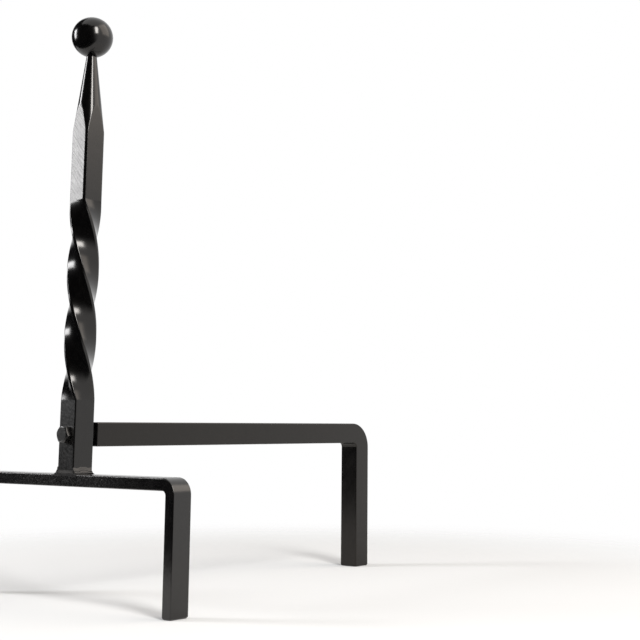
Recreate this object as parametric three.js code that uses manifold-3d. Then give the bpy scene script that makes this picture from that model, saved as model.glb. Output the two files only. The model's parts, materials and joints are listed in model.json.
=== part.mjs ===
// A wrought-iron style andiron (firedog), one of the two that hold logs up in an open fireplace.
//
// A flat bar bent into a bridge makes the two front legs. A square bar stands on the middle of it,
// twisted three quarters of a turn, and turned at its top to a long round point that carries a ball.
// A second square bar, the log bar, runs back from the upright and bends down into the rear leg.
// One hex bolt holds it to the upright, and the upright is welded to the bridge.
//
// Millimetres, +Z up, floor at Z = 0. +X is the andiron's right as seen from the room, and +Y runs
// from the room into the fireplace. The model is laid out from the upright's axis, and the whole
// group then shifts so that the origin is halfway along the andiron, on the floor.

import * as THREE from "three";
import { mergeVertices } from "three/addons/utils/BufferGeometryUtils.js";
import loadManifold from "manifold-3d";

const wasm = await loadManifold();
wasm.setup();

// ---------------------------------------------------------------- driving dimensions

// Front foot: flat bar bent into a bridge.
const footWidth = 250; // over both legs
const footHeight = 101; // floor to the top of the bridge
const footThickness = 9.5;
const footDepth = 18; // width of the flat bar, front to back
const footBendInside = 3.5; // inside radius of the two bends
const footEdge = 0.8; // softened long edges
const footEnd = 1.6; // rounding where the legs meet the floor

// Upright: square bar, from the bridge up to the ball.
const uprightSize = 19.5; // across the flats
const baseLength = 58.5; // plain bar below the twist
const twistLength = 163;
const twistTurns = 0.75; // left-handed
const upperLength = 58.1; // plain bar between the twist and the turned point
const pointLength = 66.1; // from where the cone leaves the bar's corners up to the ball
const pointTopRadius = 4.25; // of the cone's flat top, under the ball
const sawnEndSpare = 1; // length that the lathe faces off the sawn end
const baseEdge = 0.8; // corner chamfer below the twist
const twistEdge = 1.6; // corner chamfer through the twist and above it

// Ball finial and the stud that joins it to the turned point.
const ballRadius = 17.1;
const ballSeatRadius = 4.6; // flat spot that stands on the point
const studRadius = 2.5;
const studInPoint = 14;
const studInBall = 12;

// Log bar: square bar bent down into the rear leg.
const logBarWidth = 20;
const logBarHeight = 19.5;
const logBarRise = 41; // top of the bar above the top of the bridge
const logBarLength = 355; // front end to the back of the rear leg
const logBarBendInside = 4.5; // inside radius of the bend
const logBarEdge = 1; // softened long edges
const logBarEnd = 1.4; // rounding at the two ends

// Hex bolt and the spacer between the upright and the log bar.
const boltRadius = 3.95;
const boltLength = 38; // under the head
const boltHeadFlats = 12.7;
const boltHeadHeight = 5.3;
const boltHeadTurn = -9; // degrees that the head ended up turned by
const boltHoleSpare = 3; // tapped hole runs on past the bolt's end
const spacerRadius = 7;
const spacerThickness = 3;

// Fillet welds between the upright and the bridge.
const weldRun = 4.6; // along the bridge
const weldRise = 6; // up the upright
const weldHollow = 0.7; // how far the weld's face sags between its two toes

// Fits and facets.
const fitClearance = 0.3; // round a stud or a bolt in its hole
const twistStep = 5; // degrees of twist in each facet
const bendFacets = 8; // facets round each bend
const ballFacets = 48; // facets round the ball
const pointFacets = 64; // facets round the turned point
const holeFacets = 32; // facets round holes, stud, bolt and spacer

// ---------------------------------------------------------------- places worked out from them

const uprightFront = -uprightSize / 2;
const uprightBack = uprightSize / 2;
const twistStart = footHeight + baseLength;
const pointStart = twistStart + twistLength + upperLength;
const uprightTop = pointStart + pointLength;
const ballCentre = uprightTop + Math.sqrt(ballRadius ** 2 - ballSeatRadius ** 2);
const logBarTop = footHeight + logBarRise;
const boltHeight = logBarTop - logBarHeight / 2;
const logBarFront = uprightBack + spacerThickness;
const logBarBack = logBarFront + logBarLength;
const boltTip = uprightFront + boltLength;
const headTip = uprightFront - boltHeadHeight;
const frontMost = Math.min(headTip, -ballRadius);
const middleDepth = (frontMost + logBarBack) / 2; // halfway from the ball's front to the rear leg

// ---------------------------------------------------------------- shape helpers

// A closed outline through corners [x, y, radius]; each corner becomes an arc of its own radius.
function roundedOutline(corners) {
  const outline = new THREE.Shape();
  corners.forEach(([x, y, radius], i) => {
    const corner = new THREE.Vector2(x, y);
    const before = corners[(i + corners.length - 1) % corners.length];
    const after = corners[(i + 1) % corners.length];
    const inward = new THREE.Vector2(before[0], before[1]).sub(corner).normalize();
    const onward = new THREE.Vector2(after[0], after[1]).sub(corner).normalize();
    const halfAngle = Math.acos(THREE.MathUtils.clamp(inward.dot(onward), -1, 1)) / 2;
    const reach = radius / Math.tan(halfAngle);
    const centre = inward.clone().add(onward).normalize();
    centre.multiplyScalar(radius / Math.sin(halfAngle)).add(corner);
    const start = corner.clone().addScaledVector(inward, reach).sub(centre);
    const end = corner.clone().addScaledVector(onward, reach).sub(centre);
    const clockwise = inward.cross(onward) > 0;
    outline.absarc(centre.x, centre.y, radius, start.angle(), end.angle(), clockwise);
  });
  return outline;
}

// A bar of the given width whose side view is the outline, with its long edges softened.
function bentBar(outline, width, edge) {
  return new THREE.ExtrudeGeometry(outline, {
    depth: width - 2 * edge,
    curveSegments: bendFacets / 2,
    bevelThickness: edge,
    bevelSize: edge,
    bevelOffset: -edge,
    bevelSegments: 1,
  }).translate(0, 0, edge);
}

// A round bar along +Y, from one depth to another, at the height of the bolt.
function boltwiseCylinder(radius, fromY, toY) {
  const length = toY - fromY;
  return new THREE.CylinderGeometry(radius, radius, length, holeFacets)
    .translate(0, fromY + length / 2, boltHeight);
}

// A round bar along +Z, from one height to another, on the upright's axis.
function uprightCylinder(radius, fromZ, toZ) {
  const length = toZ - fromZ;
  return new THREE.CylinderGeometry(radius, radius, length, holeFacets)
    .rotateX(Math.PI / 2)
    .translate(0, 0, fromZ + length / 2);
}

// ---------------------------------------------------------------- booleans

function toSolid(geometry) {
  const bare = geometry.clone();
  bare.deleteAttribute("normal");
  bare.deleteAttribute("uv");
  const merged = mergeVertices(bare, 1e-4);
  return new wasm.Manifold(new wasm.Mesh({
    numProp: 3,
    vertProperties: new Float32Array(merged.attributes.position.array),
    triVerts: new Uint32Array(merged.index.array),
  }));
}

function toGeometry(solid) {
  const mesh = solid.getMesh();
  const geometry = new THREE.BufferGeometry();
  geometry.setAttribute("position", new THREE.BufferAttribute(mesh.vertProperties, 3));
  geometry.setIndex(new THREE.BufferAttribute(mesh.triVerts, 1));
  const faceted = geometry.toNonIndexed();
  faceted.computeVertexNormals();
  return faceted;
}

function cut(geometry, ...tools) {
  return toGeometry(tools.reduce((solid, tool) => solid.subtract(toSolid(tool)), toSolid(geometry)));
}

// ---------------------------------------------------------------- front foot

// The bridge and both legs in one flat bar, seen from the front and pushed back by its width.
function frontFoot() {
  const side = footWidth / 2;
  const under = footHeight - footThickness;
  const bendOutside = footBendInside + footThickness;
  const outline = roundedOutline([
    [-side, 0, footEnd],
    [-side + footThickness, 0, footEnd],
    [-side + footThickness, under, footBendInside],
    [side - footThickness, under, footBendInside],
    [side - footThickness, 0, footEnd],
    [side, 0, footEnd],
    [side, footHeight, bendOutside],
    [-side, footHeight, bendOutside],
  ]);
  return bentBar(outline, footDepth, footEdge)
    .rotateX(Math.PI / 2)
    .translate(0, uprightFront + footDepth, 0);
}

// ---------------------------------------------------------------- upright

// The square bar's section at each height: its corner chamfer, and how far the bar has turned.
// Looking down, the twist turns clockwise as it climbs. The last station is the sawn end, before
// the point is turned.
function uprightStations() {
  const twistAngle = -2 * Math.PI * twistTurns;
  const steps = Math.ceil(twistTurns * 360 / twistStep);
  const stations = [{ z: footHeight, edge: baseEdge, turn: 0 }];
  for (let i = 0; i <= steps; i += 1) {
    const along = i / steps;
    stations.push({
      z: twistStart + along * twistLength,
      edge: THREE.MathUtils.lerp(baseEdge, twistEdge, Math.min(1, 4 * along)),
      turn: along * twistAngle,
    });
  }
  stations.push({ z: uprightTop + sawnEndSpare, edge: twistEdge, turn: twistAngle });
  return stations;
}

// A square section with chamfered corners, as eight points.
function chamferedSquare(half, edge) {
  const near = half - edge;
  return [[half, -near], [half, near], [near, half], [-near, half],
    [-half, near], [-half, -near], [-near, -half], [near, -half]];
}

// A straight bar with one ring of corners per station, each ring then moved to its station.
function twistedBar(stations) {
  const half = uprightSize / 2;
  const first = chamferedSquare(half, stations[0].edge);
  const outline = new THREE.Shape(first.map(([x, y]) => new THREE.Vector2(x, y)));
  const spans = stations.length - 1;
  const bar = new THREE.ExtrudeGeometry(outline, { depth: spans, steps: spans, bevelEnabled: false });
  const position = bar.attributes.position;
  for (let i = 0; i < position.count; i += 1) {
    const station = stations[Math.round(position.getZ(i))];
    const [x, y] = [position.getX(i), position.getY(i)];
    const near = half - station.edge;
    const onSideFace = Math.abs(x) > Math.abs(y);
    const moved = new THREE.Vector2(
      Math.sign(x) * (onSideFace ? half : near),
      Math.sign(y) * (onSideFace ? near : half),
    ).rotateAround(new THREE.Vector2(0, 0), station.turn);
    position.setXYZ(i, moved.x, moved.y, station.z);
  }
  return bar;
}

// All that the lathe leaves of the bar: a long cone that meets its corners first and then its flats.
function turnedEnvelope() {
  const cornerRadius = Math.hypot(uprightSize / 2, uprightSize / 2 - twistEdge);
  const slope = (cornerRadius - pointTopRadius) / pointLength;
  const clearRadius = uprightSize;
  const clearHeight = pointStart - (clearRadius - cornerRadius) / slope;
  const profile = [
    new THREE.Vector2(0, 0),
    new THREE.Vector2(clearRadius, 0),
    new THREE.Vector2(clearRadius, clearHeight),
    new THREE.Vector2(pointTopRadius, uprightTop),
    new THREE.Vector2(0, uprightTop),
  ];
  return new THREE.LatheGeometry(profile, pointFacets).rotateX(Math.PI / 2);
}

// The twisted bar with its turned point, bored across for the bolt and down its top for the stud.
function upright() {
  const bar = toSolid(twistedBar(uprightStations())).intersect(toSolid(turnedEnvelope()));
  const past = uprightSize; // the bolt hole's cutter runs well past both faces
  const boltHole = boltwiseCylinder(boltRadius + fitClearance, -past, past);
  const studHole = uprightCylinder(
    studRadius + fitClearance,
    uprightTop - studInPoint - fitClearance,
    uprightTop + studInBall,
  );
  return toGeometry(bar.subtract(toSolid(boltHole)).subtract(toSolid(studHole)));
}

// ---------------------------------------------------------------- ball finial and its stud

// A ball turned with a flat seat and a blind hole under it, revolved about the upright's axis.
function ballFinial() {
  const hole = studRadius + fitClearance;
  const seat = uprightTop - ballCentre;
  const holeTop = seat + studInBall + fitClearance;
  const seatAngle = Math.atan2(seat, ballSeatRadius);
  const rows = ballFacets / 2;
  const profile = [
    new THREE.Vector2(0, holeTop),
    new THREE.Vector2(hole, holeTop),
    new THREE.Vector2(hole, seat),
  ];
  for (let i = 0; i < rows; i += 1) {
    const angle = THREE.MathUtils.lerp(seatAngle, Math.PI / 2, i / rows);
    profile.push(new THREE.Vector2(ballRadius * Math.cos(angle), ballRadius * Math.sin(angle)));
  }
  profile.push(new THREE.Vector2(0, ballRadius));
  return new THREE.LatheGeometry(profile, ballFacets)
    .rotateX(Math.PI / 2)
    .translate(0, 0, ballCentre);
}

function finialStud() {
  return uprightCylinder(studRadius, uprightTop - studInPoint, uprightTop + studInBall);
}

// ---------------------------------------------------------------- log bar

// The bar and the rear leg in one, seen from the side, with a tapped hole in its front end.
function logBar() {
  const under = logBarTop - logBarHeight;
  const legFront = logBarBack - logBarHeight;
  const outline = roundedOutline([
    [logBarFront, under, logBarEnd],
    [legFront, under, logBarBendInside],
    [legFront, 0, logBarEnd],
    [logBarBack, 0, logBarEnd],
    [logBarBack, logBarTop, logBarBendInside + logBarHeight],
    [logBarFront, logBarTop, logBarEnd],
  ]);
  const bar = bentBar(outline, logBarWidth, logBarEdge)
    .rotateX(Math.PI / 2)
    .rotateZ(Math.PI / 2)
    .translate(-logBarWidth / 2, 0, 0);
  const holeFrom = logBarFront - logBarWidth;
  const tappedHole = boltwiseCylinder(boltRadius + fitClearance, holeFrom, boltTip + boltHoleSpare);
  return cut(bar, tappedHole);
}

// ---------------------------------------------------------------- hex bolt and spacer

// A hexagonal head with its outer corners turned off, and a plain shank for the threaded length.
function hexBolt() {
  const cornerRadius = boltHeadFlats / Math.sqrt(3);
  const hexagon = new THREE.CylinderGeometry(cornerRadius, cornerRadius, boltHeadHeight, 6)
    .rotateY(THREE.MathUtils.degToRad(90 - boltHeadTurn))
    .translate(0, (headTip + uprightFront) / 2, boltHeight);
  const flatRadius = boltHeadFlats / 2;
  const turned = new THREE.LatheGeometry([
    new THREE.Vector2(0, headTip),
    new THREE.Vector2(flatRadius, headTip),
    new THREE.Vector2(cornerRadius, headTip + cornerRadius - flatRadius),
    new THREE.Vector2(cornerRadius, uprightFront),
    new THREE.Vector2(0, uprightFront),
  ], holeFacets).translate(0, 0, boltHeight);
  const shank = boltwiseCylinder(boltRadius, headTip + boltHeadHeight / 2, boltTip);
  return toGeometry(toSolid(hexagon).intersect(toSolid(turned)).add(toSolid(shank)));
}

function spacerWasher() {
  const ring = boltwiseCylinder(spacerRadius, uprightBack, logBarFront);
  const hole = boltwiseCylinder(boltRadius + fitClearance, 0, logBarBack);
  return cut(ring, hole);
}

// ---------------------------------------------------------------- welds

// One fillet of weld metal in the corner between bridge and upright, on the upright's right.
function weldBead() {
  const profile = new THREE.Shape();
  profile.moveTo(0, 0);
  profile.lineTo(weldRun, 0);
  const sag = weldHollow / Math.hypot(weldRun, weldRise);
  profile.quadraticCurveTo(
    weldRun / 2 - sag * weldRise,
    weldRise / 2 - sag * weldRun,
    0,
    weldRise,
  );
  return new THREE.ExtrudeGeometry(profile, {
    depth: footDepth,
    curveSegments: bendFacets,
    bevelEnabled: false,
  })
    .rotateX(Math.PI / 2)
    .translate(uprightSize / 2, uprightFront + footDepth, footHeight);
}

// ---------------------------------------------------------------- finishes

function satinBlack() {
  return new THREE.MeshStandardMaterial({ color: 0x24221f, roughness: 0.42, metalness: 0 });
}

function blackedSteel() {
  return new THREE.MeshStandardMaterial({ color: 0x302d2a, roughness: 0.35, metalness: 0.6 });
}

function plainSteel() {
  return new THREE.MeshStandardMaterial({ color: 0x8a8a88, roughness: 0.4, metalness: 1 });
}

// ---------------------------------------------------------------- assembly

function part(name, geometry, material) {
  const mesh = new THREE.Mesh(geometry, material);
  mesh.name = name;
  return mesh;
}

const weldRight = part("weld_right", weldBead(), satinBlack());
const weldLeft = part("weld_left", weldBead(), satinBlack());
weldLeft.rotation.z = Math.PI; // the same bead, turned to the upright's left
weldLeft.position.y = 2 * uprightFront + footDepth;

const andiron = new THREE.Group();
andiron.position.y = -middleDepth;
andiron.add(
  part("front_foot", frontFoot(), satinBlack()),
  part("upright", upright(), satinBlack()),
  weldRight,
  weldLeft,
  part("ball_finial", ballFinial(), satinBlack()),
  part("finial_stud", finialStud(), plainSteel()),
  part("log_bar", logBar(), satinBlack()),
  part("hex_bolt", hexBolt(), blackedSteel()),
  part("spacer_washer", spacerWasher(), blackedSteel()),
);

export default andiron;
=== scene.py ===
import json
import math

import bmesh
import bpy
from mathutils import Matrix, Vector

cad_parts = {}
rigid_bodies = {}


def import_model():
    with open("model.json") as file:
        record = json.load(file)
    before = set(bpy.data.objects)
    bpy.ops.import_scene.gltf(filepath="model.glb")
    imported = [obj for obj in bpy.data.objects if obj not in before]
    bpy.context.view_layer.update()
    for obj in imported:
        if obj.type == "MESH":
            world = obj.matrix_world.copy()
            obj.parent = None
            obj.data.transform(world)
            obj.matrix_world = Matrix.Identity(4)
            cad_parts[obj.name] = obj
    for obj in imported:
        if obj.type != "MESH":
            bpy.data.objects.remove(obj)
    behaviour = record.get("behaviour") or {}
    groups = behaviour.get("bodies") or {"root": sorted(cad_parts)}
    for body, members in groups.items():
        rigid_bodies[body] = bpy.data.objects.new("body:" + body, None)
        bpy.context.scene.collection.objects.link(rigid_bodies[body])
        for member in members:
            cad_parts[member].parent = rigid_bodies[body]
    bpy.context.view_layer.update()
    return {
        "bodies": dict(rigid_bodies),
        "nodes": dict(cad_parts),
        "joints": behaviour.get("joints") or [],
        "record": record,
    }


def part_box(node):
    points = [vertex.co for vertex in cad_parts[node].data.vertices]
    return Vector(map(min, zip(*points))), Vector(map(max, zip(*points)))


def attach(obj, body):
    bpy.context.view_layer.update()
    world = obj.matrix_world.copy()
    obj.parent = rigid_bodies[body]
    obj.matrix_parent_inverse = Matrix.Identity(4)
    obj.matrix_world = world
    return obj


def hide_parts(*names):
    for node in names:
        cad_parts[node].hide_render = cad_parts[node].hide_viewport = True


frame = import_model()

# ---------------------------------------------------------------- front foot
# One length of hot-rolled flat bar, bent over a former at two corners into a bridge with two legs.
# The mill left its long edges slightly round, and the sawn ends are eased. Like every bar of the
# andiron it is powder coated in satin black.

foot_thickness = 0.0095
foot_inside_bend = 0.0035
foot_edge_round, foot_end_round = 0.0009, 0.0019
bend_steps = 16
corner_steps = 4
end_steps = 5

peel_length = 0.0012  # size of the orange peel
gloss_patch, gloss_spread = 0.009, 0.02
tone_patch = 0.004
coat_dark, coat_light = (0.0013, 0.0012, 0.0012, 1), (0.0027, 0.0025, 0.0024, 1)
cloud_low, cloud_high = 0.3, 0.7  # between these lie nearly all values of a noise texture
dark_up_to, light_from = 0.35, 0.7  # the values of the noise where the tone stops changing
front_skin = 0.0003  # how far behind the front plane the ground faces reach
grit, grit_long = 0.002, 0.003  # size of the rough spots round the weld


def satin_black_coat(
    name, peel_depth, wave_length, wave_depth, roughness, place=None, shine=0.5, warmth=0.03,
):
    """Powder coat: fine orange peel over the slow waves of the bar, and slightly uneven gloss."""
    coat = bpy.data.materials.new(name)
    coat.use_nodes = True
    nodes, links = coat.node_tree.nodes, coat.node_tree.links
    shader = nodes["Principled BSDF"]
    shader.inputs["Specular IOR Level"].default_value = shine
    shader.inputs["Specular Tint"].default_value = (1, 1 - warmth, 1 - 2 * warmth, 1)
    if place:
        source = nodes.new("ShaderNodeAttribute")
        source.attribute_name = place
        point = source.outputs["Vector"]
    else:
        point = nodes.new("ShaderNodeTexCoord").outputs["Object"]

    def cloud(size, detail):
        texture = nodes.new("ShaderNodeTexNoise")
        texture.inputs["Scale"].default_value = 1 / size
        texture.inputs["Detail"].default_value = detail
        links.new(point, texture.inputs["Vector"])
        return texture.outputs["Fac"]

    peel = nodes.new("ShaderNodeBump")
    peel.inputs["Distance"].default_value = peel_depth
    links.new(cloud(peel_length, 2), peel.inputs["Height"])
    waves = nodes.new("ShaderNodeBump")
    waves.inputs["Distance"].default_value = wave_depth
    links.new(cloud(wave_length, 1), waves.inputs["Height"])
    links.new(peel.outputs["Normal"], waves.inputs["Normal"])
    links.new(waves.outputs["Normal"], shader.inputs["Normal"])

    gloss = nodes.new("ShaderNodeMapRange")
    gloss.inputs["From Min"].default_value = cloud_low
    gloss.inputs["From Max"].default_value = cloud_high
    gloss.inputs["To Min"].default_value = roughness - gloss_spread
    gloss.inputs["To Max"].default_value = roughness + gloss_spread
    links.new(cloud(gloss_patch, 3), gloss.inputs["Value"])
    links.new(gloss.outputs["Result"], shader.inputs["Roughness"])

    tone = nodes.new("ShaderNodeValToRGB")
    tone.color_ramp.elements[0].position = dark_up_to
    tone.color_ramp.elements[0].color = coat_dark
    tone.color_ramp.elements[1].position = light_from
    tone.color_ramp.elements[1].color = coat_light
    links.new(cloud(tone_patch, 4), tone.inputs["Fac"])
    links.new(tone.outputs["Color"], shader.inputs["Base Color"])
    return coat


def ground_front(
    coat, along, full, none, rougher, mark_depth, mark_width, mark_length, bar_place=None,
):
    """Grinder marks under the coat of the front face, from full to none along one axis."""
    nodes, links = coat.node_tree.nodes, coat.node_tree.links
    shader = nodes["Principled BSDF"]
    if bar_place:
        source = nodes.new("ShaderNodeAttribute")
        source.attribute_name = bar_place
        place, plane = source.outputs["Vector"], -half_side
    else:
        place, plane = nodes.new("ShaderNodeTexCoord").outputs["Object"], foot_low.y
    parts = nodes.new("ShaderNodeSeparateXYZ")
    links.new(place, parts.inputs["Vector"])
    front = nodes.new("ShaderNodeMapRange")
    front.inputs["From Min"].default_value = plane + front_skin
    front.inputs["From Max"].default_value = plane + front_skin / 3
    links.new(parts.outputs["Y"], front.inputs["Value"])
    distance = nodes.new("ShaderNodeMath")
    distance.operation = "ABSOLUTE"
    links.new(parts.outputs[along], distance.inputs[0])
    share = nodes.new("ShaderNodeMapRange")
    share.interpolation_type = "SMOOTHSTEP"
    share.inputs["From Min"].default_value = none
    share.inputs["From Max"].default_value = full
    links.new(distance.outputs["Value"], share.inputs["Value"])
    ground = nodes.new("ShaderNodeMath")
    ground.operation = "MULTIPLY"
    links.new(front.outputs["Result"], ground.inputs[0])
    links.new(share.outputs["Result"], ground.inputs[1])

    grain = nodes.new("ShaderNodeCombineXYZ")
    for name, size, slope in (("X", mark_width, 1), ("Y", mark_length, -1)):
        run = nodes.new("ShaderNodeVectorMath")
        run.operation = "DOT_PRODUCT"
        run.inputs[1].default_value = (math.sqrt(0.5) / size, 0, slope * math.sqrt(0.5) / size)
        links.new(place, run.inputs[0])
        links.new(run.outputs["Value"], grain.inputs[name])
    marks = nodes.new("ShaderNodeTexNoise")
    marks.inputs["Scale"].default_value = 1
    marks.inputs["Detail"].default_value = 3
    links.new(grain.outputs["Vector"], marks.inputs["Vector"])
    height = nodes.new("ShaderNodeMath")
    height.operation = "MULTIPLY"
    links.new(marks.outputs["Fac"], height.inputs[0])
    links.new(ground.outputs["Value"], height.inputs[1])
    bump = nodes.new("ShaderNodeBump")
    bump.inputs["Distance"].default_value = mark_depth
    links.new(height.outputs["Value"], bump.inputs["Height"])
    links.new(shader.inputs["Normal"].links[0].from_socket, bump.inputs["Normal"])
    links.new(bump.outputs["Normal"], shader.inputs["Normal"])

    added = nodes.new("ShaderNodeMath")
    added.operation = "MULTIPLY_ADD"
    added.inputs[1].default_value = 2 * rougher  # the marks' own middle is a half
    links.new(height.outputs["Value"], added.inputs[0])
    links.new(shader.inputs["Roughness"].links[0].from_socket, added.inputs[2])
    links.new(added.outputs["Value"], shader.inputs["Roughness"])


def ring_stack(shape, points, stations, place):
    """A closed skin of one ring for each station, each ring extruded from the last."""
    around = shape.verts.layers.float.new("around")
    ring = bmesh.ops.create_circle(shape, cap_ends=True, radius=1, segments=points)["verts"]
    for corner in ring:
        corner[around] = math.atan2(corner.co.y, corner.co.x)
        corner.co = place(corner[around], stations[0])
    cap = ring[0].link_faces[0]
    for station in stations[1:]:
        made = bmesh.ops.extrude_face_region(shape, geom=[cap, *cap.edges, *cap.verts])["geom"]
        cap = next(f for f in made if isinstance(f, bmesh.types.BMFace))
        for corner in cap.verts:
            corner.co = place(corner[around], station)
    shape.verts.layers.float.remove(around)
    bmesh.ops.recalc_face_normals(shape, faces=shape.faces)


def bent_bar(start, end, bends, side, width, thickness, inside_bend, edge_round, end_round):
    """A bar's closed skin through right-angled bends and round at its edges and ends. Each bend is
    given by its middle and the outward directions before and after it. Side points across."""
    section = []
    for corner, (across, up) in enumerate(((1, 1), (-1, 1), (-1, -1), (1, -1))):
        for i in range(corner_steps + 1):
            angle = math.pi / 2 * (corner + i / corner_steps)
            section.append((
                across * (width / 2 - edge_round) + edge_round * math.cos(angle),
                up * (thickness / 2 - edge_round) + edge_round * math.sin(angle),
            ))
    frames = []
    for middle, before, after in bends:
        for i in range(bend_steps + 1):
            turn = math.pi / 2 * i / bend_steps
            outward = before * math.cos(turn) + after * math.sin(turn)
            frames.append((middle + outward * (inside_bend + thickness / 2), outward, 0))
    for tip, inner in ((start, frames[0]), (end, frames[-1])):
        along = (inner[0] - tip).normalized()
        rounding = []
        for i in range(end_steps + 1):
            turn = math.pi / 2 * i / end_steps
            depth = end_round * (1 - math.cos(turn))
            rounding.append((tip + along * depth, inner[1], end_round * (1 - math.sin(turn))))
        frames = rounding + frames if tip is start else frames + rounding[::-1]

    def place(angle, frame):
        point, outward, inset = frame
        across, up = section[round(angle / (2 * math.pi) * len(section)) % len(section)]
        across -= math.copysign(inset, across)
        up -= math.copysign(inset, up)
        return point + side * across + outward * up

    bar = bmesh.new()
    ring_stack(bar, len(section), frames, place)
    return bar


def mesh_of(shape, name):
    """The shape as a mesh. Its faces are sorted, because extruding leaves them in no fixed order."""
    shape.verts.index_update()
    count = len(shape.verts)
    shape.faces.sort(key=lambda face: face.verts[0].index * count + face.verts[2].index)
    mesh = bpy.data.meshes.new(name)
    shape.to_mesh(mesh)
    shape.free()
    return mesh


def finished(shape, name, material, slot, *nodes, weighted=False):
    """The shape as a smooth piece of the andiron, in place of its plain CAD nodes."""
    mesh = mesh_of(shape, name)
    mesh.shade_smooth()
    mesh.materials.append(material)
    piece = bpy.data.objects.new(name, mesh)
    bpy.context.scene.collection.objects.link(piece)
    if weighted:
        modifier = piece.modifiers.new("flats_stay_flat", "WEIGHTED_NORMAL")
        modifier.weight = 100  # the widest faces decide
    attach(piece, "root")
    if nodes:
        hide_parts(*nodes)
    return piece


foot_low, foot_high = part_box("front_foot")
foot_middle = (foot_low + foot_high) / 2
foot_depth = foot_high.y - foot_low.y
leg_inside = foot_high.x - foot_thickness
bend_middle_x = leg_inside - foot_inside_bend
bend_middle_z = foot_high.z - foot_thickness - foot_inside_bend

left, right, upward = Vector((-1, 0, 0)), Vector((1, 0, 0)), Vector((0, 0, 1))
leg_middle = leg_inside + foot_thickness / 2
foot = bent_bar(
    Vector((-leg_middle, foot_middle.y, foot_low.z)), Vector((leg_middle, foot_middle.y, foot_low.z)),
    [(Vector((-bend_middle_x, foot_middle.y, bend_middle_z)), left, upward),
     (Vector((bend_middle_x, foot_middle.y, bend_middle_z)), upward, right)],
    Vector((0, 1, 0)), foot_depth, foot_thickness, foot_inside_bend, foot_edge_round, foot_end_round,
)
foot_coat = satin_black_coat(
    "coat_on_foot", peel_depth=4e-6, wave_length=0.02, wave_depth=3e-5, roughness=0.18, shine=0.62,
)
ground_front(
    foot_coat, "X", full=0.03, none=0.14, rougher=0.1,
    mark_depth=3.2e-4, mark_width=grit, mark_length=grit_long,
)
finished(foot, "front_foot_bar", foot_coat, "satin_black", "front_foot", weighted=True)

# ---------------------------------------------------------------- upright
# Square bar, twisted hot through three quarters of a turn and turned in a lathe to a long round
# point. The cone runs out over the four flats in arches, as on a square pencil. Its foot stands on
# the middle of the bridge and is welded there.

base_length = 0.0585
twist_length = 0.163
twist_turns = -0.75  # looking down, clockwise as it climbs
twist_ease = 0.0006
upper_length = 0.0581
base_chamfer, twist_chamfer = 0.0008, 0.0016
chamfer_change = 0.04
point_top_radius = 0.0042
point_top_round = 0.0006
edge_crispness = 130
cone_crispness = 260
ring_points = 136
corner_gathering = 0.12  # how far ring points are drawn towards the corners
twist_ring, cone_ring, plain_ring = 0.00125, 0.0007, 0.0045
kink_zone, kink_ring = 0.0024, 0.0003  # finer rings where the twist starts and ends

upright_low, upright_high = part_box("upright")
axis = Vector((0, (upright_low.y + upright_high.y) / 2, 0))
half_side = axis.y - foot_low.y
twist_start = upright_low.z + base_length
twist_end = twist_start + twist_length
cone_start = twist_end + upper_length
corner_radius = math.hypot(half_side, half_side - twist_chamfer)
cone_slope = (corner_radius - point_top_radius) / (upright_high.z - cone_start)


def rings_between(low, high, spacing):
    count = max(1, round((high - low) / spacing))
    return [low + (high - low) * i / count for i in range(count)]


def twist_share(z):
    """Share of the twist made up to a height, with a short soft start and end."""
    run = min(max(z - twist_start + twist_ease / 2, 0), twist_length + twist_ease)
    whole = twist_length + twist_ease
    steady = whole - twist_ease
    if run < twist_ease:
        return run ** 2 / (2 * twist_ease * steady)
    if run > steady:
        return 1 - (whole - run) ** 2 / (2 * twist_ease * steady)
    return (run - twist_ease / 2) / steady


def bar_radius(angle, z):
    """Distance from the axis to the bar's outline: four flats and four corner chamfers, softly met."""
    change = min(max((z - twist_start) / chamfer_change, 0), 1)
    chamfer = base_chamfer + (twist_chamfer - base_chamfer) * change
    corner_facet = (2 * half_side - chamfer) / math.sqrt(2)
    total = 0
    for side in range(8):
        lean = math.cos(angle - side * math.pi / 4)
        if lean > 0:
            total += (lean * half_side / (corner_facet if side % 2 else half_side)) ** edge_crispness
    return half_side * total ** (-1 / edge_crispness)


def upright_point(angle, z):
    """A point of the upright's skin, before the twist."""
    gathered = angle + corner_gathering * math.sin(4 * angle)
    radius = bar_radius(gathered, z)
    cone = corner_radius - cone_slope * (z - cone_start)
    below_top = upright_high.z - z
    if below_top < point_top_round:
        run_in = point_top_round - below_top
        cone -= point_top_round - math.sqrt(max(0, point_top_round ** 2 - run_in ** 2))
    if z > cone_start - twist_chamfer / cone_slope:
        radius *= (1 + (radius / cone) ** cone_crispness) ** (-1 / cone_crispness)
    return Vector((radius * math.cos(gathered), radius * math.sin(gathered), z))


upright = bmesh.new()
upright_rings = [
    *rings_between(upright_low.z, twist_start - kink_zone, plain_ring),
    *rings_between(twist_start - kink_zone, twist_start + kink_zone, kink_ring),
    *rings_between(twist_start + kink_zone, twist_end - kink_zone, twist_ring),
    *rings_between(twist_end - kink_zone, twist_end + kink_zone, kink_ring),
    *rings_between(twist_end + kink_zone, cone_start - kink_zone, plain_ring),
    *rings_between(cone_start - kink_zone, upright_high.z - point_top_round, cone_ring),
    *rings_between(upright_high.z - point_top_round, upright_high.z, point_top_round / 4),
    upright_high.z,
]
ring_stack(upright, ring_points, upright_rings, upright_point)
straight_place = upright.verts.layers.float_vector.new("straight_place")
for corner in upright.verts:
    corner[straight_place] = corner.co
    turn = Matrix.Rotation(2 * math.pi * twist_turns * twist_share(corner.co.z), 3, "Z")
    corner.co = turn @ corner.co + axis
upright_coat = satin_black_coat(
    "coat_on_upright", peel_depth=1.5e-6, wave_length=0.012, wave_depth=3e-5, roughness=0.17,
    place="straight_place",
)
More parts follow.
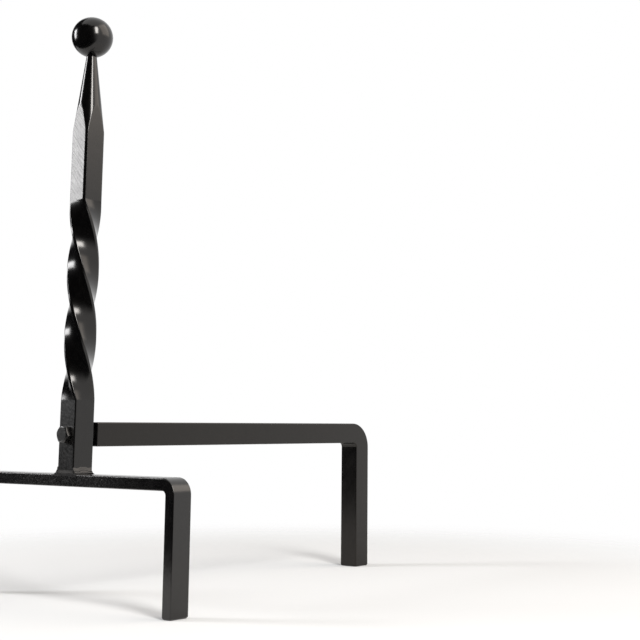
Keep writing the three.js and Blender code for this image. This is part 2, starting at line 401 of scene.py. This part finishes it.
ground_front(
    upright_coat, "Z", full=twist_start - 0.001, none=twist_start + 0.007, rougher=0.2,
    mark_depth=1.3e-4, mark_width=grit, mark_length=grit_long, bar_place="straight_place",
)
ground_front(
    upright_coat, "Z", full=twist_end - 0.0002, none=twist_end - 0.0016, rougher=0.065,
    mark_depth=1e-4, mark_width=0.0016, mark_length=0.014,
)
finished(upright, "upright_bar", upright_coat, "satin_black", "upright")

# ---------------------------------------------------------------- welds
# A fillet of weld metal on each side joins the upright to the bridge. Across the front the weld is
# ground flush, so that the two front faces run together. All of it is coated with the bars.

weld_rings = 60
weld_curve_points = 26
weld_hollow = 0.0009
weld_ridge, weld_ridges = 0.0003, 2.6  # ridges along the bead, from its passes
weld_crescent, weld_crescent_pitch = 0.00004, 0.0016
weld_crescent_lean = 5  # radians by which a crescent has moved on from the bridge to the upright
weld_uneven = 0.09  # share by which the bead's upper edge wanders
weld_drifts = ((0.9, 0.0131), (0.5, 0.0057))  # height and length of the waves in which it wanders
weld_hidden = 0.0007  # how far the bead's back goes into the bars
weld_coat = satin_black_coat(
    "coat_on_welds", peel_depth=1e-5, wave_length=0.003, wave_depth=8e-5, roughness=0.2,
)
ground_front(
    weld_coat, "Z", full=upright_low.z + 0.01, none=upright_low.z + 0.02, rougher=0.2,
    mark_depth=8e-5, mark_width=grit, mark_length=grit_long,
)


def weld_bead(side):
    """The fillet on one side, with uneven ridges along it and the small crescents of its passes."""
    node = "weld_right" if side > 0 else "weld_left"
    low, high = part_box(node)
    run, rise = high.x - low.x, high.z - low.z
    hollow = weld_hollow / math.hypot(run, rise)
    outline = []
    for i in range(weld_curve_points):
        t = i / (weld_curve_points - 1)
        sag = 4 * t * (1 - t)
        outline.append((run * (1 - t) - hollow * rise * sag, rise * t - hollow * run * sag, t))
    outline += [(-weld_hidden, rise, 1), (-weld_hidden, -weld_hidden, 1), (run, -weld_hidden, 0)]

    def place(angle, y):
        out, up, t = outline[round(angle / (2 * math.pi) * len(outline)) % len(outline)]
        (slow, slow_length), (quick, quick_length) = weld_drifts
        drift = slow * math.sin(2 * math.pi * y / slow_length + side)
        drift += quick * math.sin(2 * math.pi * y / quick_length)
        ridge = weld_ridge * (math.sin(2 * math.pi * weld_ridges * t + drift) - 1)
        moved_on = 2 * math.pi * y / weld_crescent_pitch + weld_crescent_lean * t
        crescent = weld_crescent * (math.sin(moved_on) - 1)
        grow = 1 + (ridge + crescent) * math.sin(math.pi * t) / run
        grow -= weld_uneven * (1 + drift / (slow + quick)) * t
        x = side * (half_side + (out * grow if out > 0 else out))
        return Vector((x, y, low.z + (up * grow if up > 0 else up)))

    bead = bmesh.new()
    rings = [*rings_between(low.y, high.y, (high.y - low.y) / weld_rings), high.y]
    ring_stack(bead, len(outline), rings, place)
    finished(bead, f"{node}_bead", weld_coat, "satin_black", node)


weld_bead(1)
weld_bead(-1)

ground_proud = 0.00003
ground_past_upright = 0.0031  # on each side
ground_size = Vector((2 * (half_side + ground_past_upright), 0.0014, 0.002))
ground_front_y = foot_low.y - ground_proud
ground_middle = Vector((0, ground_front_y + ground_size.y / 2, upright_low.z - ground_size.z / 4))
ground_weld = bmesh.new()
bmesh.ops.create_cube(
    ground_weld, size=1,
    matrix=Matrix.Translation(ground_middle) @ Matrix.Diagonal((*ground_size, 1)),
)
finished(ground_weld, "weld_ground_flush", weld_coat, "satin_black").data.shade_flat()

# ---------------------------------------------------------------- ball finial and its stud
# A solid steel ball, turned with a small flat seat and drilled for the stud that joins it to the
# upright's point. It is coated like the bars. The stud is plain threaded rod and stays hidden.

ball_segments, ball_rings = 112, 72
ball_low, ball_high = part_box("ball_finial")
ball_radius = (ball_high.x - ball_low.x) / 2
ball_centre = Vector((0, axis.y, ball_high.z - ball_radius))

ball = bmesh.new()
bmesh.ops.create_uvsphere(
    ball, u_segments=ball_segments, v_segments=ball_rings, radius=ball_radius,
    matrix=Matrix.Translation(ball_centre),
)
bmesh.ops.bisect_plane(
    ball, geom=[*ball.verts, *ball.edges, *ball.faces],
    plane_co=(0, 0, ball_low.z), plane_no=(0, 0, -1), clear_outer=True,
)
bmesh.ops.holes_fill(ball, edges=[e for e in ball.edges if e.is_boundary])
bmesh.ops.recalc_face_normals(ball, faces=ball.faces)
ball_coat = satin_black_coat(
    "coat_on_ball", peel_depth=3e-6, wave_length=0.01, wave_depth=1.5e-5, roughness=0.17,
)
finished(ball, "ball_finial_ball", ball_coat, "satin_black", "ball_finial")

thread_scale, thread_depth = 300, 0.0004  # the scale gives a pitch of about 1 mm
stud_steel = bpy.data.materials.new("plain_thread_steel")
stud_steel.use_nodes = True
stud_shader = stud_steel.node_tree.nodes["Principled BSDF"]
stud_shader.inputs["Metallic"].default_value = 1
stud_shader.inputs["Base Color"].default_value = (0.52, 0.52, 0.5, 1)
thread_rings = stud_steel.node_tree.nodes.new("ShaderNodeTexWave")
thread_rings.bands_direction = "Z"
thread_rings.inputs["Scale"].default_value = thread_scale
thread_bump = stud_steel.node_tree.nodes.new("ShaderNodeBump")
thread_bump.inputs["Distance"].default_value = thread_depth
stud_place = stud_steel.node_tree.nodes.new("ShaderNodeTexCoord")
stud_steel.node_tree.links.new(stud_place.outputs["Object"], thread_rings.inputs["Vector"])
stud_steel.node_tree.links.new(thread_rings.outputs["Fac"], thread_bump.inputs["Height"])
stud_steel.node_tree.links.new(thread_bump.outputs["Normal"], stud_shader.inputs["Normal"])
stud = frame["nodes"]["finial_stud"]
stud.data.materials.clear()
stud.data.materials.append(stud_steel)

# ---------------------------------------------------------------- log bar
# A second square bar, bolted end-on to the back of the upright and bent down hot at the far end
# into the rear leg. The logs lie on its flat top. Its sawn ends are eased, and it is coated.

log_edge_round, log_end_round = 0.0011, 0.0015
log_inside_bend = 0.0045
log_low, log_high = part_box("log_bar")
log_width = log_high.x - log_low.x
log_height = 0.0195
log_bend_y = log_high.y - log_height - log_inside_bend
log_bend_z = log_high.z - log_height - log_inside_bend

log_bar = bent_bar(
    Vector((0, log_low.y, log_high.z - log_height / 2)),
    Vector((0, log_high.y - log_height / 2, log_low.z)),
    [(Vector((0, log_bend_y, log_bend_z)), upward, Vector((0, 1, 0)))],
    right, log_width, log_height, log_inside_bend, log_edge_round, log_end_round,
)
log_coat = satin_black_coat(
    "coat_on_log_bar", peel_depth=4e-6, wave_length=0.03, wave_depth=4e-5, roughness=0.19,
    shine=0.43, warmth=0.07,
)
finished(log_bar, "log_bar_and_rear_leg", log_coat, "satin_black", "log_bar", weighted=True)

# ---------------------------------------------------------------- hex bolt and spacer
# One hex-head bolt goes through the foot of the upright and a thick washer into the log bar. Its
# head was hot forged, so its face is rough, and it is coated over with the rest.

bolt_points = 144
bolt_hex_crispness = 120
bolt_chamfer_rings = 8
bolt_chamfer_share = 1.1  # its depth, as a share of how far a corner stands past the flats
bolt_low, bolt_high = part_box("hex_bolt")
bolt_centre = Vector((0, 0, (bolt_low.z + bolt_high.z) / 2))
bolt_flats = 0.0127
bolt_turn = math.radians(51)  # of one corner of the head, from +X towards +Z
bolt_shank_radius = 0.00395
bolt_corner_radius = bolt_flats / math.sqrt(3)
bolt_chamfer_depth = bolt_chamfer_share * (bolt_corner_radius - bolt_flats / 2)
bolt_face_radius = 0.0053  # where the chamfer starts on the front face


def bolt_point(angle, station):
    """A point of the bolt's skin; a station is a depth and a largest radius."""
    y, limit = station
    total = 0
    for side in range(6):
        lean = math.cos(angle - bolt_turn - math.pi / 6 - side * math.pi / 3)
        if lean > 0:
            total += lean ** bolt_hex_crispness
    radius = min(bolt_flats / 2 * total ** (-1 / bolt_hex_crispness), limit)
    return bolt_centre + Vector((radius * math.cos(angle), y, radius * math.sin(angle)))


bolt_stations = [(bolt_low.y, bolt_face_radius)]
for i in range(bolt_chamfer_rings + 1):
    limit = bolt_face_radius + (bolt_corner_radius - bolt_face_radius) * i / bolt_chamfer_rings
    bolt_stations.append((bolt_low.y + bolt_chamfer_depth * i / bolt_chamfer_rings, limit))
bolt_stations.append((foot_low.y, bolt_corner_radius))
bolt_stations.append((foot_low.y, bolt_shank_radius))
bolt_stations.append((bolt_high.y, bolt_shank_radius))
bolt = bmesh.new()
ring_stack(bolt, bolt_points, bolt_stations, bolt_point)
bolt_coat = satin_black_coat(
    "coat_on_bolt", peel_depth=4e-5, wave_length=0.003, wave_depth=8e-5, roughness=0.34,
    shine=0.85,
)
finished(bolt, "hex_bolt_forged", bolt_coat, "bolt_black", "hex_bolt", weighted=True)

spacer_low, spacer_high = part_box("spacer_washer")
spacer_radius = (spacer_high.x - spacer_low.x) / 2
spacer_clearance = 0.0003
spacer_hole = bolt_shank_radius + spacer_clearance
spacer_points = 72
spacer_edge_round = 0.0003
rim_angle = 1  # radians between faces, past which an edge is one of the four rims
spacer = bmesh.new()
spacer_place = Matrix.Translation((0, spacer_low.y, bolt_centre.z))
facing_front = Matrix.Rotation(math.pi / 2, 4, "X")
for radius in (spacer_hole, spacer_radius):
    bmesh.ops.create_circle(
        spacer, radius=radius, segments=spacer_points, matrix=spacer_place @ facing_front,
    )
bmesh.ops.bridge_loops(spacer, edges=list(spacer.edges))
spacer_made = bmesh.ops.extrude_face_region(spacer, geom=list(spacer.faces))["geom"]
bmesh.ops.translate(
    spacer, verts=[v for v in spacer_made if isinstance(v, bmesh.types.BMVert)],
    vec=(0, spacer_high.y - spacer_low.y, 0),
)
bmesh.ops.recalc_face_normals(spacer, faces=spacer.faces)
bmesh.ops.bevel(
    spacer, geom=[e for e in spacer.edges if e.calc_face_angle(0) > rim_angle],
    offset=spacer_edge_round, segments=3, profile=0.5, affect="EDGES", clamp_overlap=True, material=-1,
)
spacer_coat = satin_black_coat(
    "coat_on_spacer", peel_depth=8e-6, wave_length=0.006, wave_depth=5e-5, roughness=0.3,
)
finished(spacer, "spacer_washer_ring", spacer_coat, "bolt_black", "spacer_washer", weighted=True)

# ---------------------------------------------------------------- floor and studio
# A pale floor in a white room. Two softboxes stand in front, one on each side, and a tall white
# panel behind on the right. A black cloth, which thins out towards both sides, stands in front and
# keeps the front faces dark between the softboxes.

floor_size = 1.6
floor_white, floor_gone = 0.3, 0.72  # distances between which the floor fades into the white room
floor_mesh = bmesh.new()
bmesh.ops.create_grid(floor_mesh, x_segments=1, y_segments=1, size=floor_size)
floor = bpy.data.objects.new("floor", mesh_of(floor_mesh, "floor"))
bpy.context.scene.collection.objects.link(floor)
floor_paint = bpy.data.materials.new("pale_floor")
floor_paint.use_nodes = True
floor_nodes, floor_links = floor_paint.node_tree.nodes, floor_paint.node_tree.links
floor_shader = floor_nodes["Principled BSDF"]
floor_shader.inputs["Base Color"].default_value = (0.8, 0.8, 0.8, 1)
floor_shader.inputs["Roughness"].default_value = 1
floor_shader.inputs["Specular IOR Level"].default_value = 0
floor_distance = floor_nodes.new("ShaderNodeVectorMath")
floor_distance.operation = "LENGTH"
floor_links.new(floor_nodes.new("ShaderNodeTexCoord").outputs["Object"], floor_distance.inputs[0])
floor_fade = floor_nodes.new("ShaderNodeMapRange")
floor_fade.interpolation_type = "SMOOTHSTEP"
floor_fade.inputs["From Min"].default_value = floor_white
floor_fade.inputs["From Max"].default_value = floor_gone
floor_fade.inputs["To Min"].default_value, floor_fade.inputs["To Max"].default_value = 1, 0
floor_links.new(floor_distance.outputs["Value"], floor_fade.inputs["Value"])
floor_links.new(floor_fade.outputs["Result"], floor_shader.inputs["Alpha"])
floor.data.materials.append(floor_paint)

cloth_front, cloth_back_wall, cloth_left, cloth_right, cloth_height = -0.37, -2.6, -2.4, 2.3, 4.5
cloth_left_end = 1.4
cloth_thins_right = (48, 84)  # from dense to gone, in degrees from the front
cloth_thins_left = (-95, -120)
cloth_lift = 0.004
cloth_mesh = bmesh.new()
cloth_corners = [
    cloth_mesh.verts.new((x, y, cloth_lift))
    for x, y in ((cloth_left, cloth_front), (cloth_left, cloth_back_wall),
                 (cloth_right, cloth_back_wall), (cloth_right, cloth_front))
]
cloth_mesh.faces.new(cloth_corners)
cloth_opening = cloth_mesh.edges.get((cloth_corners[0], cloth_corners[3]))
cloth_edges = [e for e in cloth_mesh.edges if e != cloth_opening]
cloth_tail = cloth_mesh.verts.new((cloth_left, cloth_left_end, cloth_lift))
cloth_edges.append(cloth_mesh.edges.new((cloth_corners[0], cloth_tail)))
cloth_walls = bmesh.ops.extrude_edge_only(cloth_mesh, edges=cloth_edges)["geom"]
bmesh.ops.translate(
    cloth_mesh, verts=[v for v in cloth_walls if isinstance(v, bmesh.types.BMVert)],
    vec=(0, 0, cloth_height),
)
cloth = bpy.data.objects.new("black_cloth", mesh_of(cloth_mesh, "black_cloth"))
bpy.context.scene.collection.objects.link(cloth)
cloth_black = bpy.data.materials.new("cloth_black")
cloth_black.use_nodes = True
cloth_shader = cloth_black.node_tree.nodes["Principled BSDF"]
cloth_shader.inputs["Base Color"].default_value = (0.01, 0.01, 0.012, 1)
cloth_shader.inputs["Roughness"].default_value = 1
cloth_shader.inputs["Specular IOR Level"].default_value = 0
cloth_nodes, cloth_links = cloth_black.node_tree.nodes, cloth_black.node_tree.links
cloth_place = cloth_nodes.new("ShaderNodeSeparateXYZ")
cloth_links.new(cloth_nodes.new("ShaderNodeTexCoord").outputs["Object"], cloth_place.inputs["Vector"])
cloth_ahead = cloth_nodes.new("ShaderNodeMath")
cloth_ahead.operation = "MULTIPLY"
cloth_ahead.inputs[1].default_value = -1
cloth_links.new(cloth_place.outputs["Y"], cloth_ahead.inputs[0])
cloth_turn = cloth_nodes.new("ShaderNodeMath")
cloth_turn.operation = "ARCTAN2"
cloth_links.new(cloth_place.outputs["X"], cloth_turn.inputs[0])
cloth_links.new(cloth_ahead.outputs["Value"], cloth_turn.inputs[1])
cloth_dense = cloth_nodes.new("ShaderNodeMath")
cloth_dense.operation = "MULTIPLY"
for side, (dense, gone) in enumerate((cloth_thins_right, cloth_thins_left)):
    thinning = cloth_nodes.new("ShaderNodeMapRange")
    thinning.interpolation_type = "SMOOTHSTEP"
    thinning.inputs["From Min"].default_value = math.radians(gone)
    thinning.inputs["From Max"].default_value = math.radians(dense)
    cloth_links.new(cloth_turn.outputs["Value"], thinning.inputs["Value"])
    cloth_links.new(thinning.outputs["Result"], cloth_dense.inputs[side])
cloth_links.new(cloth_dense.outputs["Value"], cloth_shader.inputs["Alpha"])
cloth.data.materials.append(cloth_black)
cloth.visible_camera = False
cloth.visible_diffuse = False
cloth.visible_transmission = False
cloth.visible_shadow = False

# name, share of the width and height, share of the radiance, distance behind
softbox_parts = (("core", 0.88, 1, 0), ("rim", 1.1, 0.4, 0.02))


def softbox(name, azimuth, elevation, distance, width, height, radiance, colour, lean=0):
    """Rectangular lights that face the ball, brighter in the middle. Azimuth 0 is in front, 90 right."""
    turn, lift = math.radians(azimuth), math.radians(elevation)
    away = Vector((math.sin(turn) * math.cos(lift), -math.cos(turn) * math.cos(lift), math.sin(lift)))
    facing = away.to_track_quat("Z", "Y").to_matrix() @ Matrix.Rotation(math.radians(lean), 3, "Z")
    for part, size, share, behind in softbox_parts:
        light = bpy.data.lights.new(f"{name}_{part}", "AREA")
        light.shape = "RECTANGLE"
        light.size, light.size_y = width * size, height * size
        light.energy = share * radiance * math.pi * light.size * light.size_y
        light.color = colour
        lamp = bpy.data.objects.new(light.name, light)
        lamp.location = ball_centre + away * (distance + behind)
        lamp.rotation_euler = facing.to_euler()
        lamp.visible_camera = False
        bpy.context.scene.collection.objects.link(lamp)


softbox(
    "left_softbox", azimuth=-57, elevation=13, distance=1.6, width=0.47, height=0.88,
    radiance=10, colour=(0.97, 0.98, 1), lean=13,
)
softbox(
    "right_softbox", azimuth=73, elevation=28.5, distance=1.7, width=0.42, height=1.15,
    radiance=14, colour=(1, 0.99, 0.97),
)
softbox(
    "back_panel", azimuth=129, elevation=35, distance=2.4, width=2.2, height=2.3,
    radiance=1.2, colour=(1, 0.9, 0.8),
)

world = bpy.data.worlds.new("white_room")
bpy.context.scene.world = world
world.use_nodes = True
room_nodes, room_links = world.node_tree.nodes, world.node_tree.links
room_fill = 0.45  # how brightly the white room lights what stands in it
seen = room_nodes.new("ShaderNodeLightPath")
by_eye = room_nodes.new("ShaderNodeMath")
by_eye.operation = "MAXIMUM"
room_links.new(seen.outputs["Is Camera Ray"], by_eye.inputs[0])
room_links.new(seen.outputs["Is Glossy Ray"], by_eye.inputs[1])
by_glass = room_nodes.new("ShaderNodeMath")
by_glass.operation = "MAXIMUM"
room_links.new(by_eye.outputs["Value"], by_glass.inputs[0])
room_links.new(seen.outputs["Is Transmission Ray"], by_glass.inputs[1])
room_level = room_nodes.new("ShaderNodeMapRange")
room_level.inputs["To Min"].default_value = room_fill
room_level.inputs["To Max"].default_value = 1
room_links.new(by_glass.outputs["Value"], room_level.inputs["Value"])
room_nodes["Background"].inputs["Color"].default_value = (1, 1, 1, 1)
room_links.new(room_level.outputs["Result"], room_nodes["Background"].inputs["Strength"])

# ---------------------------------------------------------------- camera
# The photograph was taken from the front right, low down, and is the left part of a wider frame.
# The lens and the viewpoint come from its straight edges, in a frame of 640 by 640 pixels.

photo_side = 640
lens_axis_x, lens_axis_y = 385, 230  # where the lens axis meets the photograph
focal_pixels = 1239.9
camera_data = bpy.data.cameras.new("camera")
camera_data.sensor_width = 36
camera_data.lens = camera_data.sensor_width * focal_pixels / photo_side
camera_data.shift_x = (photo_side / 2 - lens_axis_x) / photo_side
camera_data.shift_y = (lens_axis_y - photo_side / 2) / photo_side
camera_data.clip_start, camera_data.clip_end = 0.01, 50
camera = bpy.data.objects.new("camera", camera_data)
camera_from_axis = Vector((0.808957, -0.653060, 0.138779))
camera.location = axis + camera_from_axis
camera_heading, camera_pitch, camera_roll = 0.651160, 0.157392, 0.002147
camera.rotation_euler = (
    Matrix.Rotation(camera_heading, 3, "Z")
    @ Matrix.Rotation(math.pi / 2 + camera_pitch, 3, "X")
    @ Matrix.Rotation(camera_roll, 3, "Z")
).to_euler()
bpy.context.scene.collection.objects.link(camera)
bpy.context.scene.camera = camera
bpy.context.scene.view_settings.view_transform = "Standard"

bpy.context.view_layer.update()
